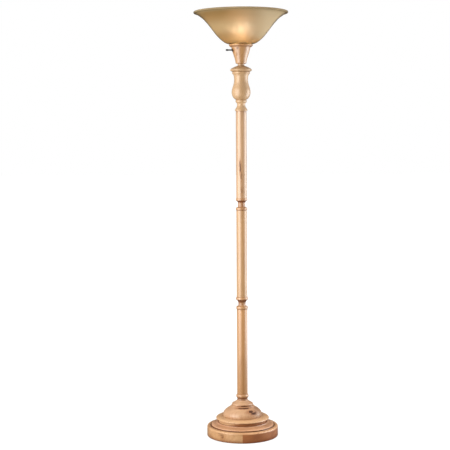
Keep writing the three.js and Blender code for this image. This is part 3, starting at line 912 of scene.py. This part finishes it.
# %% Turn the cup and the flange
CUP_BIRCH = birch(
    "birch_cup", (182, 134, 78), (154, 106, 54), (122, 74, 34), seed=11.6, heartwood=0.12,
    pith=(0.03, 0.07, 0),
    marks=[
        ((-0.0145, -0.036, 1.6462), (0.0030, 0.01, 0.0040), 0.45),
        ((-0.0170, -0.0265, 1.6225), (0.0012, 0.01, 0.006), 0.6),
        # Painted shadow: this mark is the shadow of the turn key, below and to the right of its hole.
        ((-0.0335, -0.0170, 1.6365), (0.0035, 0.008, 0.0065), 0.9),
    ],
)
key_joint = next(joint for joint in frame["joints"] if joint["name"] == "key_turn")
KEY_ROOT = Vector(key_joint["pos_m"])
KEY_WAY = Vector(key_joint["axis"]).normalized()
CUP_BORE, CUP_FLOOR = 21, 28.5  # the hollow for the socket: its radius and its floor
cup = Outline(BORE, 0).line((19.5, 0)).curve((22.4, 0.5), (22.8, 4.5))
cup.curve((24, 17.5), (30, 31.5), (34.4, 46.5)).curve((37.6, 57.5), (40.5, 69.5))
cup.line((CUP_BORE, 69.5), (CUP_BORE, CUP_FLOOR), (BORE, CUP_FLOOR))
cup_piece = turn("socket_cup", cup, CUP_BIRCH)
drilled(cup_piece, KEY_ROOT, KEY_WAY, length=0.06, radius=0.0046)

# Painted shade: the flange's underside is darkened.
FLANGE_BIRCH = birch(
    "birch_flange", (206, 160, 104), (176, 124, 70), (140, 88, 44), seed=13.3,
    pith=(0.05, 0.05, 0), crease=0.55, crease_reach=0.005, overhung=True,
)
flange = Outline(44, 0).curve((46.4, 0.8), (47.6, 4)).curve((51.2, 4.6), (51.2, 9), (49.2, 10))
flange_piece = turn_bored("flange_ring", flange, FLANGE_BIRCH, CUP_BORE)

# %% Drill the screw holes
SEAT_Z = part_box("shade_seat")[0].z
SCREW_RING = 0.0272  # radius of the circle that the screws stand on
SCREW_SPOTS = [Vector((math.cos(a), math.sin(a), 0)) * SCREW_RING
               for a in (math.radians(d) for d in (90, 210, 330))]
UPWARD = (0, 0, 1)


def drill_for_screws(piece):
    """Drills the three screw holes, a little wider than the screws."""
    for spot in SCREW_SPOTS:
        start = spot + Vector((0, 0, SEAT_Z - 0.009))
        drilled(piece, start, UPWARD, length=0.02, radius=0.0019)


drill_for_screws(flange_piece)

# %% [markdown]
# ## Metal finishes
# Spun and drawn metal keeps fine lines from the tool, and brass goes brown wherever its lacquer has
# let the air in. One group gives the lines, a slow change of sheen and a mask of stains, and each
# metal uses them with its own colours. Creases are stained too, with the group that the wood has.

# %% The group "Worked metal"
w, given, give = new_group(
    "Worked metal",
    {"Lines": 3000.0, "Stain Size": 0.008},
    {"Height": FLOAT, "Sheen": FLOAT, "Stain": FLOAT},
)
w.feed(give["Height"], w.noise(round_the_lathe(w, given["Vector"]), given["Lines"], 2.0))
w.feed(give["Sheen"], w.noise(given["Vector"], 160.0, 3.0))
blotch = w.noise(given["Vector"], w.math("DIVIDE", 1.0, given["Stain Size"]), 4.0)
w.feed(give["Stain"], w.ramp(blotch, 0.5, 0.72))

# %% Make the metals
SMALL_REACH = 0.003  # how far a crease reaches on a small piece


def metal(name, bright, stained, shiny, dull, lines=3000.0, stain_size=0.008, depth=0.00004):
    """A worked metal with its stain, and its roughness where it is shiny and where it is dull."""
    material, w, shader = new_material(name)
    here = w.here()
    worked = use_group(w, "Worked metal", here, lines=lines, stain_size=stain_size)
    wear_and_shade = use_group(w, "Worn corners and painted shade", here, reach=SMALL_REACH)
    stain = w.math("MAXIMUM", worked["Stain"], w.times(wear_and_shade["Creases"], 0.8))
    colour = w.mix(w.times(stain, 0.7), shade(*bright), shade(*stained))
    w.feed(shader["Base Color"], colour)
    sheen = w.ramp(worked["Sheen"], 0.3, 0.7, shiny, dull)
    w.feed(shader["Roughness"], w.scaled(stain, 0.15, sheen))
    w.dent(shader, worked["Height"], strength=0.4, distance=depth)
    shader["Metallic"].default_value = 1.0
    return material


BRASS = metal("brass_spun", (206, 162, 88), (122, 82, 40), 0.22, 0.34)
STEEL = metal("steel_drawn", (146, 144, 138), (92, 86, 78), 0.3, 0.44)
BLACK_STEEL = metal("steel_blackened", (44, 42, 40), (34, 28, 24), 0.36, 0.5)
ALUMINIUM = metal("aluminium_rolled", (202, 202, 204), (146, 142, 136), 0.26, 0.4)
IRON = metal("iron_cast", (74, 72, 70), (104, 66, 42), 0.6, 0.8, lines=500.0, stain_size=0.02,
             depth=0.0003)

# %% [markdown]
# ## Grains and fibres
# Cork is pressed from grains, and moulded plastic takes the fine pebbled skin of its mould: both are
# cells of one size with seams between them. Felt and card are matted fibres, which noise draws well
# when it is bent by more noise. So two groups serve all four.

# %% The groups "Grains" and "Fibres"
w, given, give = new_group(
    "Grains",
    {"Grain Size": 0.002},
    {"Tone": FLOAT, "Seam": FLOAT, "Height": FLOAT},
)
cells = {"Vector": given["Vector"], "Scale": w.math("DIVIDE", 1.0, given["Grain Size"])}
cell_colour = w.node("TexVoronoi", cells).outputs["Color"]
w.feed(give["Tone"], w.node("SeparateColor", {"Color": cell_colour}).outputs["Red"])
border = w.node("TexVoronoi", cells, feature="DISTANCE_TO_EDGE").outputs["Distance"]
w.feed(give["Seam"], w.ramp(border, 0.0, 0.12, 1.0, 0.0))
w.feed(give["Height"], w.ramp(border, 0.0, 0.3))

w, given, give = new_group("Fibres", {"Fibre Size": 0.0004}, {"Tone": FLOAT, "Hairs": FLOAT})
fine = w.math("DIVIDE", 1.0, given["Fibre Size"])
coarse = w.times(fine, 0.3)
w.feed(give["Tone"], w.noise(given["Vector"], fine, 3.0, bend=2.0))
w.feed(give["Hairs"], w.ramp(w.noise(given["Vector"], coarse, 1.0, bend=8.0), 0.55, 0.62))

# %% Make cork, plastic, felt and card
def grainy(name, light, dark, seam, size, rough, depth):
    """Cork or moulded plastic: grains between two colours, and the seams between them."""
    material, w, shader = new_material(name)
    here = w.here()
    grains = use_group(w, "Grains", here, grain_size=size)
    wear_and_shade = use_group(w, "Worn corners and painted shade", here, reach=SMALL_REACH)
    colour = w.mix(grains["Tone"], shade(*light), shade(*dark))
    colour = w.mix(w.times(grains["Seam"], 0.7), colour, shade(*seam))
    worn = w.times(wear_and_shade["Corners"], 0.4)
    w.feed(shader["Base Color"], w.mix(worn, colour, shade(*light)))
    w.feed(shader["Roughness"], w.scaled(grains["Tone"], 0.12, rough))
    w.dent(shader, grains["Height"], strength=0.5, distance=depth)
    return material


def fibrous(name, light, dark, size, rough, depth, sheen=0.0):
    """Felt or card: matted fibres between two colours, with a few pale hairs."""
    material, w, shader = new_material(name)
    here = w.here()
    mat = use_group(w, "Fibres", here, fibre_size=size)
    colour = w.mix(w.ramp(mat["Tone"], 0.3, 0.7), shade(*dark), shade(*light))
    hairs = w.times(mat["Hairs"], 0.35)
    w.feed(shader["Base Color"], w.mix(hairs, colour, shade(*light)))
    w.feed(shader["Roughness"], w.scaled(mat["Tone"], 0.1, rough))
    w.dent(shader, mat["Tone"], strength=0.8, distance=depth)
    shader["Sheen Weight"].default_value = sheen
    return material


CORK = grainy("cork_pressed", (192, 146, 100), (142, 98, 60), (84, 54, 32), 0.0016, 0.8, 0.0003)
BLACK_PLASTIC = grainy("black_plastic_moulded", (40, 38, 36), (24, 23, 22), (14, 13, 13), 0.0004,
                       0.34, 0.00004)
FELT = fibrous("felt_brown", (96, 78, 62), (48, 36, 28), 0.0005, 0.88, 0.0006, sheen=0.4)
CARD = fibrous("card_grey", (190, 180, 160), (158, 148, 130), 0.0003, 0.8, 0.0001)

# %% [markdown]
# ## The turn key
# The switch is worked by a fluted knob on a thin steel spindle that comes through the side of the
# cup. Flutes are a shape that the lathe helper can give: the radius rises and falls ten times round
# the knob. A small black ring finishes the hole in the wood, and it leans with the cup's flare.

# %% Make the spindle, the knob and the ring
KEY_AXIS = (KEY_ROOT, KEY_WAY)
FLUTES, FLUTE_DEPTH = 10, 0.13  # how many, and their depth as a share of the radius
GRIP_FROM, COLLAR_R = 54.4, 2.9  # in millimetres along and round the spindle
stem = Outline(0, 7).line((1.5, 7), (1.9, 7.5), (1.9, 36.2), (2.6, 36.5), (2.8, 37), (2.8, 51.4))
stem.line((2.5, 52), (1.9, 52), (1.9, 59), (0, 59))
turn("key_stem", stem, BLACK_STEEL, 0.1, axis=KEY_AXIS, faces=48)


def fluted(r, z, angle):
    """Shallow flutes on the grip, but not on its collar, its end or its bore."""
    on_grip = r >= COLLAR_R * MM and z >= GRIP_FROM * MM
    deep = min(1.0, (z / MM - GRIP_FROM) / 0.8) if on_grip else 0.0
    return r * (1 - FLUTE_DEPTH / 2 * deep * (1 - math.cos(FLUTES * angle)))


grip = Outline(2.2, 53).line((3, 53), (3, 54.2)).curve((3.7, 54.3), (3.7, 55.2))
grip.line((3.7, 59), (3.7, 61.4)).curve((3.6, 64), (2.5, 64.2))
grip.line((0, 64.2), (0, 59.3), (2.2, 59.3))
turn("key_knob", grip, BLACK_PLASTIC, 0.12, axis=KEY_AXIS, faces=120, shape=fluted)

CUP_WALL, CUP_SLOPE = 0.0372, math.radians(15)  # the cup's outside at the key's height
outward = KEY_WAY * math.cos(CUP_SLOPE) - Vector((0, 0, math.sin(CUP_SLOPE)))
rim = Outline(3.2, -1.2).line((6.6, -1.2), (6.6, 0.5)).curve((6.4, 1.3), (5.2, 1.4)).line((3.2, 1.4))
ring_points = [(r * MM, z * MM) for r, z in eased(rim.points, 0.2)]
key_ring = smooth(spin("key_hole_ring", ring_points, faces=64))
lay(key_ring, KEY_ROOT + KEY_WAY * CUP_WALL, outward)
key_ring.data.materials.append(BLACK_PLASTIC)
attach(key_ring, frame["nodes"]["socket_cup"]["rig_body"])
print(key_ring.name, "leans", round(math.degrees(CUP_SLOPE)), "degrees")

# %% [markdown]
# ## The seat of the glass
# A brass plate with a low collar centres the glass. Three slotted screws hold it to the flange, and
# a ring of cork lies between the metal and the glass. They show when the glass is lifted off.

# %% Turn the seat and its gasket
seat = Outline(23, 0).line((47.5, 0), (47.5, 1.2), (32.5, 1.2), (32.5, 8.2)).curve((32.4, 9), (32, 9))
seat.curve((31.5, 9), (31.5, 8.4)).line((31.5, 1.2), (23, 1.2))
seat_piece = turn("shade_seat", seat, BRASS, 0.2)
drill_for_screws(seat_piece)
gasket = Outline(34, 0).line((46.5, 0), (46.5, 1.5), (34, 1.5))
turn("shade_gasket", gasket, CORK, 0.3, suffix="cut", faces=64)

# %% Make the screws
SLOT_WIDTH, SLOT_DEPTH = 0.0008, 0.0009
SCREW_PITCH, THREAD_DEPTH = 0.0009, 0.00035


def bar(name, size, matrix):
    """A plain bar, as a cutting tool."""
    bm = bmesh.new()
    bmesh.ops.create_cube(bm, size=1.0, matrix=matrix @ Matrix.Diagonal((*size, 1.0)))
    mesh = bpy.data.meshes.new(name)
    bm.to_mesh(mesh)
    bm.free()
    return place(bpy.data.objects.new(name, mesh))


def thread(pitch, depth, start, end):
    """A rolled thread: the radius falls and rises once in each pitch, and once in each turn."""
    def shaped(r, z, angle):
        if not start < z < end:
            return r
        return r - depth * (0.5 - 0.5 * math.cos(FULL_TURN * z / pitch - angle))
    return shaped


for number, spot in enumerate(SCREW_SPOTS, start=1):
    shank = [(1.5, 0.9 + 0.15 * k) for k in range(50)]
    screw = Outline(0, 0).line((1.0, 0.2), *shank, (1.5, 9.7), (3, 9.7))
    screw.curve((3, 10.6), (1.6, 11.3), (0, 11.3))
    cut_thread = thread(SCREW_PITCH, THREAD_DEPTH, SEAT_Z - 0.008, SEAT_Z - 0.0005)
    piece = turn(f"seat_screw_{number}", screw, STEEL, 0.05, faces=40, shape=cut_thread)
    piece.data.transform(Matrix.Translation(spot))
    slot_place = Matrix.Translation(spot + Vector((0, 0, SEAT_Z + 0.0028)))
    slot_place = slot_place @ Matrix.Rotation(number * 1.1, 4, "Z")
    cut_away(piece, bar("slot", (0.008, SLOT_WIDTH, 2 * SLOT_DEPTH), slot_place))

# %% [markdown]
# ## The lamp socket
# A thin brass shell with a rolled lip holds a card liner, the switch and the screw shell. The screw
# shell and the bulb's cap are both rolled from sheet, so their threads are round waves, 3.6 mm from
# crest to crest. They are the same wave, so the one fits in the other.

# %% Turn the socket
PITCH, WAVE = 0.0036, 0.0008
shell = Outline(17.4, 0).line((18.1, 0), (18.1, 8)).curve((18.7, 8.3), (18.7, 9.7), (18.1, 10))
shell.line((18.1, 46.4)).curve((18.2, 47.6), (19, 47.8), (19, 49)).curve((19, 50), (18.2, 50))
shell.curve((17.4, 50), (17.4, 49)).line((17.4, 10), (17.4, 8))
shell_piece = turn("socket_shell", shell, BRASS, 0.1)
drilled(shell_piece, KEY_ROOT, KEY_WAY, length=0.03, radius=0.0034)
liner = Outline(16.6, 0).line((17.1, 0), (17.1, 49), (16.6, 49))
liner_piece = turn("socket_liner", liner, CARD, 0.1, suffix="rolled")
drilled(liner_piece, KEY_ROOT, KEY_WAY, length=0.03, radius=0.0034)
saucer = Outline(5.3, 0).line((9, 0)).curve((19.5, 1), (19.5, 9))
saucer.line((19.5, 14), (18.4, 14), (18.4, 9), (16.6, 9)).curve((16, 3), (8.5, 1.2)).line((5.3, 1.2))
turn("socket_cap", saucer, BRASS, 0.1)


def rolled(name, outline, material, wave_from, wave_to):
    """Turns a thin rolled thread: close rows of points let the lathe draw each wave."""
    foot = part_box(name)[0].z
    waves = thread(PITCH, WAVE, foot + wave_from * MM, foot + wave_to * MM)
    return turn(name, outline, material, 0.05, "rolled", faces=72, shape=waves)


def climb(radius, start, end, step=0.4):
    """Points up or down a wall, close enough to draw a thread."""
    count = max(1, round(abs(end - start) / step))
    return [(radius, start + (end - start) * k / count) for k in range(count + 1)]


screw_wall = Outline(5, 0).line((14.4, 0), *climb(14.4, 1, 23.4), (14.5, 24), (14.1, 24))
screw_wall.line(*climb(14.05, 23.4, 1), (14.05, 0.6), (5, 0.6))
rolled("screw_shell", screw_wall, BRASS, 1.5, 22.5)
contact = Outline(0, 0).line((3, 0), (3, 2.4)).curve((2.9, 3.4), (0, 3.4))
turn("socket_contact", contact, BRASS, 0.1, faces=40)

# %% [markdown]
# ## The base's underside and the cord's way out
# Felt covers the foot and keeps the iron weight in its pocket. At the back, a flanged plastic
# bushing guards the hole for the cord.

# %% Make the felt and the bushing
felt = Outline(0, 0).line((147.6, 0)).curve((148.5, 0.2), (148.5, 0.6)).curve((148.4, 1), (147.8, 1))
turn("felt_pad", felt.line((0, 1)), FELT, 0.1, suffix="cut")
bush = Outline(4, 0).line((6.1, 0), (6.1, 28.5), (9.2, 28.5), (9.2, 29.6)).curve((9, 30.8), (7.5, 31))
bush.line((5, 31)).curve((4.1, 30.9), (4, 30))
bush_start = (CORD_X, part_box("cord_bushing")[0].y, CORD_Z)
turn("cord_bushing", bush, BLACK_PLASTIC, 0.25, suffix="moulded", axis=(bush_start, BACKWARD),
     faces=48)

# %% Finish what stays inside
def refinish(material, *nodes):
    """Gives CAD nodes that stay as they are a better finish."""
    for node in nodes:
        for slot in frame["nodes"][node].material_slots:
            slot.material = material
    print(material.name, "on", nodes)


refinish(IRON, "base_weight")
refinish(STEEL, "base_washer", "base_nut", "cup_washer", "cup_nut", "coupler_lower", "coupler_upper")
refinish(STEEL, "pipe_lower", "pipe_middle", "pipe_upper")
refinish(BLACK_PLASTIC, "switch_body")

# %% [markdown]
# ## Frosted amber glass
# The bell is blown amber glass, etched inside so that it spreads the light. Light goes through it,
# but a sharp picture doesn't: that is transmission with a high roughness. Painted light is laid on
# the amber: a pale band round the bulb's height, a paler right side, and a warmer strip down the
# middle above the bulb. The glass is thick enough to look darker where the eye grazes it.

# %% The glass finish
# The second height is the bulb's, round which a band of painted glow lies.
FOOT_Z, GLOW_BAND_Z, FLARE_Z, RIM_Z = 1.667, 1.728, 1.75, 1.797  # heights where the amber changes


def frosted_glass():
    """Amber glass that scatters the light, tinted by height, with painted glow from the bulb and
    painted light on its right side, and dark at a glancing view.
    """
    material, w, shader = new_material("amber_frosted_glass")
    here = w.here()
    side, height = w.split(here, "X"), w.split(here, "Z")
    # Painted glow: a pale band round the bulb's height.
    from_glow_band = w.math("ABSOLUTE", w.math("SUBTRACT", height, GLOW_BAND_Z))
    upper = w.mix(w.ramp(height, FLARE_Z, FLARE_Z + 0.03), shade(189, 154, 98), shade(178, 142, 82))
    glow_band = w.mix(w.ramp(from_glow_band, 0.006, 0.036), shade(203, 175, 124), upper)
    # Painted light: paler to the right, with a little noise.
    drift = w.times(w.noise(here, 6.0, 1.0), 0.4)
    right_light = w.ramp(w.scaled(side, 4.2, drift), 0.2, 0.62)
    lit_right_side = w.mix(right_light, glow_band, shade(218, 199, 161))
    # Painted glow: warmer down the middle, above the bulb.
    from_middle = w.math("ABSOLUTE", w.math("ADD", side, 0.004))
    painted_glow = w.times(w.ramp(from_middle, 0.0, 0.085, 0.42, 0.0),
                  w.ramp(height, GLOW_BAND_Z + 0.007, GLOW_BAND_Z + 0.037))
    body = w.mix(painted_glow, lit_right_side, shade(234, 196, 142))
    low = w.mix(w.ramp(height, FOOT_Z, FOOT_Z + 0.033), shade(204, 163, 98), body)
    tint = w.mix(w.ramp(height, RIM_Z - 0.015, RIM_Z), low, shade(184, 162, 118))
    edge = w.node("LayerWeight", {"Blend": 0.5}).outputs["Facing"]
    w.feed(shader["Base Color"], w.mix(w.ramp(edge, 0.72, 0.92), tint, shade(88, 72, 42)))
    speck = w.noise(here, 900.0, 1.0)
    w.feed(shader["Roughness"], w.ramp(speck, 0.3, 0.7, 0.61, 0.71))
    w.dent(shader, speck, strength=0.25, distance=0.0001)
    shader["Transmission Weight"].default_value = 0.6
    shader["IOR"].default_value = 1.45
    shader["Specular IOR Level"].default_value = 0.25
    return material


GLASS = frosted_glass()

# %% Blow the shade
bell = Outline(34, 0).line((52, 0)).curve((66, 2), (78.5, 11.3), (97, 30.3))
bell.curve((118, 53.3), (131, 76.3), (149.5, 94.8)).curve((160, 107.3), (172, 115.3), (190, 126.3))
bell.arc((194, 130.3), (4, 4), -90, 90).line((190, 132.3))
bell.curve((170, 121.3), (156, 110.3), (146.4, 98)).curve((128, 78.3), (115, 55.8), (94, 32.8))
bell.curve((77, 14.9), (64, 5), (50, 3.6)).line((34, 3.6))
turn("glass_shade", bell, GLASS, suffix="blown", faces=128)

# %% [markdown]
# ## The lit bulb
# The bulb is on, low and warm. A frosted bulb glows all over, but less at its neck and where its
# wall is seen side-on, so its glass is a plain Principled shader with a graded emission. Its cap is
# thin aluminium with a real rolled thread, made by letting the radius rise and fall with the height
# and the angle.

# %% Make the bulb
BULB_GLOW = 18.0


def lit_bulb():
    """Frosted glass that glows, less at its neck and where it is seen side-on."""
    material, w, shader = new_material("bulb_frosted_glass")
    here = w.here()
    frost = w.mix(w.noise(here, 60.0), shade(176, 164, 144), shade(190, 180, 160))
    w.feed(shader["Base Color"], frost)
    w.feed(shader["Roughness"], w.ramp(w.noise(here, 700.0), 0.3, 0.7, 0.3, 0.42))
    above_neck = w.ramp(w.split(here, "Z"), 1.680, 1.712)
    glow = w.mix(above_neck, shade(64, 46, 30), shade(214, 212, 246))
    side_on = w.node("LayerWeight", {"Blend": 0.5}).outputs["Facing"]
    w.feed(shader["Emission Color"], w.mix(w.ramp(side_on, 0.3, 0.7), glow, shade(28, 22, 14)))
    shader["Emission Strength"].default_value = BULB_GLOW
    return material


globe = Outline(0, 0).line((13.2, 0)).curve((14, 14), (29.8, 24), (30, 47))
turn("bulb_glass", globe.arc((0, 47), (30, 30), 0, 90), lit_bulb(), suffix="blown", faces=64)
cap_wall = Outline(0, 0).line((6, 0)).curve((7.5, 1.6), (12.6, 3.6), (13.1, 4.6))
cap_wall.line(*climb(13.1, 5, 24), (13.1, 25), (0, 25))
rolled("bulb_cap", cap_wall, ALUMINIUM, 6, 22)
tip = Outline(0, 0).curve((3, 0.1), (4.3, 0.9)).line((4.5, 1.6), (0, 1.6))
turn("bulb_contact", tip, BRASS, 0.1, faces=40)
